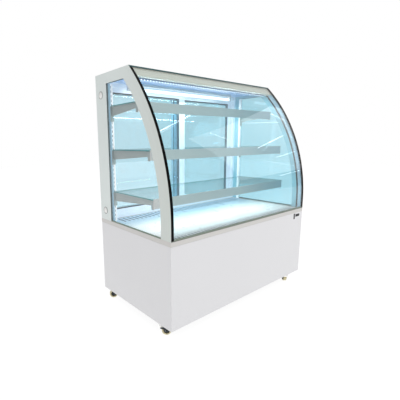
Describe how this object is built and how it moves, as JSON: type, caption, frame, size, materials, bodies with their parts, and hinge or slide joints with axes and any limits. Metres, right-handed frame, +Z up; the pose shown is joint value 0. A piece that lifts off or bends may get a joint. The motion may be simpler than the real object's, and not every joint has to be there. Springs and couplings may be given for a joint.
{
  "type": "bakery display case",
  "caption": "Refrigerated display case with curved front glass, lit glass shelves, rear sliding doors and a closed base on castors.",
  "frame": {"origin": "on the floor under the middle of the cabinet's footprint", "axes": "+X to the customer's right along the width, +Y from the customer's side to the staff side, +Z up"},
  "size_m": [1.214, 0.66, 1.35],
  "materials": {
    "base_paint": "satin powder coat",
    "frame_paint": "satin powder coat",
    "steel_sheet": "galvanised",
    "aluminium": "satin anodised",
    "white_metal": "satin",
    "bracket_grey": "satin",
    "clear_glass": "polished, faint blue-green",
    "shelf_glass": "polished, green-blue edges",
    "black_rubber": "matte",
    "black_plastic": "fine texture",
    "grey_plastic": "matte",
    "green_plastic": "gloss",
    "white_plastic": "gloss",
    "lamp": "lit diffuser",
    "liner": "satin sheet over foam",
    "deck_white": "satin",
    "zinc": "bright zinc",
    "castor_tyre": "cream tread on a dark hub",
    "black_steel": "gloss enamel",
    "copper": "bright copper"
  },
  "bodies": {
    "root": {"chassis_frame": "steel_sheet", "castor_plates": "zinc", "front_panel": "base_paint", "left_panel": "base_paint", "right_panel": "base_paint", "rear_grille": "base_paint", "control_fascia": "base_paint", "base_rim": "frame_paint", "insulated_tub": "liner", "deck_tray": "deck_white", "evaporator_coil": "aluminium", "evaporator_fan_plate": "steel_sheet", "compressor": "black_steel", "condenser_coil": "aluminium", "condenser_shroud": "black_steel", "refrigerant_pipes": "copper", "drain_pipe": "white_plastic", "condensate_tray": "black_plastic", "junction_box": "steel_sheet", "power_cord": "black_rubber", "temperature_controller": "black_plastic", "switch_bezels": "black_plastic", "left_side_frame": "frame_paint", "right_side_frame": "frame_paint", "left_side_glass": "clear_glass", "right_side_glass": "clear_glass", "front_glass": "clear_glass", "glass_gaskets": "black_rubber", "header_panel": "frame_paint", "roof_panel": "frame_paint", "led_tube": "lamp", "led_strips": "lamp", "shelf_standards": "white_metal", "shelf_brackets": "bracket_grey", "shelf_glasses": "shelf_glass", "shelf_rails": "aluminium", "door_frame": "aluminium", "fasteners": "white_plastic"},
    "castor_fl": {"castor_fork_fl": "zinc"},
    "wheel_fl": {"castor_wheel_fl": "castor_tyre"},
    "brake_fl": {"castor_brake_fl": "black_plastic"},
    "castor_fr": {"castor_fork_fr": "zinc"},
    "wheel_fr": {"castor_wheel_fr": "castor_tyre"},
    "brake_fr": {"castor_brake_fr": "black_plastic"},
    "castor_rl": {"castor_fork_rl": "zinc"},
    "wheel_rl": {"castor_wheel_rl": "castor_tyre"},
    "castor_rr": {"castor_fork_rr": "zinc"},
    "wheel_rr": {"castor_wheel_rr": "castor_tyre"},
    "left_door": {"left_door_frame": "aluminium", "left_door_glass": "clear_glass"},
    "right_door": {"right_door_frame": "aluminium", "right_door_glass": "clear_glass"},
    "condenser_fan_rotor": {"condenser_fan": "aluminium"},
    "evaporator_rotor_left": {"evaporator_fan_left": "black_plastic"},
    "evaporator_rotor_right": {"evaporator_fan_right": "black_plastic"},
    "key_set": {"button_set": "grey_plastic"},
    "key_up": {"button_up": "grey_plastic"},
    "key_down": {"button_down": "grey_plastic"},
    "rocker_power": {"power_switch": "green_plastic"},
    "rocker_light": {"light_switch": "black_plastic"}
  },
  "joints": [
    {"name": "castor_swivel_fl", "type": "hinge", "parent": "root", "child": "castor_fl", "pos_m": [-0.548, -0.265, 0.053], "axis": [0, 0, 1], "continuous": true},
    {"name": "wheel_spin_fl", "type": "hinge", "parent": "castor_fl", "child": "wheel_fl", "pos_m": [-0.56473, -0.25071, 0.025], "axis": [-0.6494, -0.7604, 0], "continuous": true},
    {"name": "brake_pedal_fl", "type": "hinge", "parent": "castor_fl", "child": "brake_fl", "pos_m": [-0.58602, -0.23253, 0.042], "axis": [-0.6494, -0.7604, 0], "range_deg": [0, 20]},
    {"name": "castor_swivel_fr", "type": "hinge", "parent": "root", "child": "castor_fr", "pos_m": [0.5, -0.272, 0.053], "axis": [0, 0, 1], "continuous": true},
    {"name": "wheel_spin_fr", "type": "hinge", "parent": "castor_fr", "child": "wheel_fr", "pos_m": [0.48586, -0.28885, 0.025], "axis": [0.766, -0.6428, 0], "continuous": true},
    {"name": "brake_pedal_fr", "type": "hinge", "parent": "castor_fr", "child": "brake_fr", "pos_m": [0.46786, -0.3103, 0.042], "axis": [0.766, -0.6428, 0], "range_deg": [0, 20]},
    {"name": "castor_swivel_rl", "type": "hinge", "parent": "root", "child": "castor_rl", "pos_m": [-0.548, 0.265, 0.053], "axis": [0, 0, 1], "continuous": true},
    {"name": "wheel_spin_rl", "type": "hinge", "parent": "castor_rl", "child": "wheel_rl", "pos_m": [-0.56705, 0.276, 0.025], "axis": [-0.5, -0.866, 0], "continuous": true},
    {"name": "castor_swivel_rr", "type": "hinge", "parent": "root", "child": "castor_rr", "pos_m": [0.548, 0.265, 0.053], "axis": [0, 0, 1], "continuous": true},
    {"name": "wheel_spin_rr", "type": "hinge", "parent": "castor_rr", "child": "wheel_rr", "pos_m": [0.56705, 0.276, 0.025], "axis": [-0.5, 0.866, 0], "continuous": true},
    {"name": "left_door_slide", "type": "slide", "parent": "root", "child": "left_door", "axis": [1, 0, 0], "range_m": [0, 0.529]},
    {"name": "right_door_slide", "type": "slide", "parent": "root", "child": "right_door", "axis": [-1, 0, 0], "range_m": [0, 0.529]},
    {"name": "condenser_fan_spin", "type": "hinge", "parent": "root", "child": "condenser_fan_rotor", "pos_m": [0.13, 0.226, 0.222], "axis": [0, -1, 0], "continuous": true},
    {"name": "evaporator_fan_spin_left", "type": "hinge", "parent": "root", "child": "evaporator_rotor_left", "pos_m": [-0.18, 0.086, 0.432], "axis": [0, -1, 0], "continuous": true},
    {"name": "evaporator_fan_spin_right", "type": "hinge", "parent": "root", "child": "evaporator_rotor_right", "pos_m": [0.18, 0.086, 0.432], "axis": [0, -1, 0], "continuous": true},
    {"name": "key_press_set", "type": "slide", "parent": "root", "child": "key_set", "axis": [0, -1, 0], "range_m": [0, 0.001], "stiffness_N_per_m": 12},
    {"name": "key_press_up", "type": "slide", "parent": "root", "child": "key_up", "axis": [0, -1, 0], "range_m": [0, 0.001], "stiffness_N_per_m": 12},
    {"name": "key_press_down", "type": "slide", "parent": "root", "child": "key_down", "axis": [0, -1, 0], "range_m": [0, 0.001], "stiffness_N_per_m": 12},
    {"name": "power_rocker", "type": "hinge", "parent": "root", "child": "rocker_power", "pos_m": [-0.215, 0.315, 0.44], "axis": [-1, 0, 0], "range_deg": [0, 14]},
    {"name": "light_rocker", "type": "hinge", "parent": "root", "child": "rocker_light", "pos_m": [-0.17, 0.315, 0.44], "axis": [-1, 0, 0], "range_deg": [0, 14]}
  ]
}
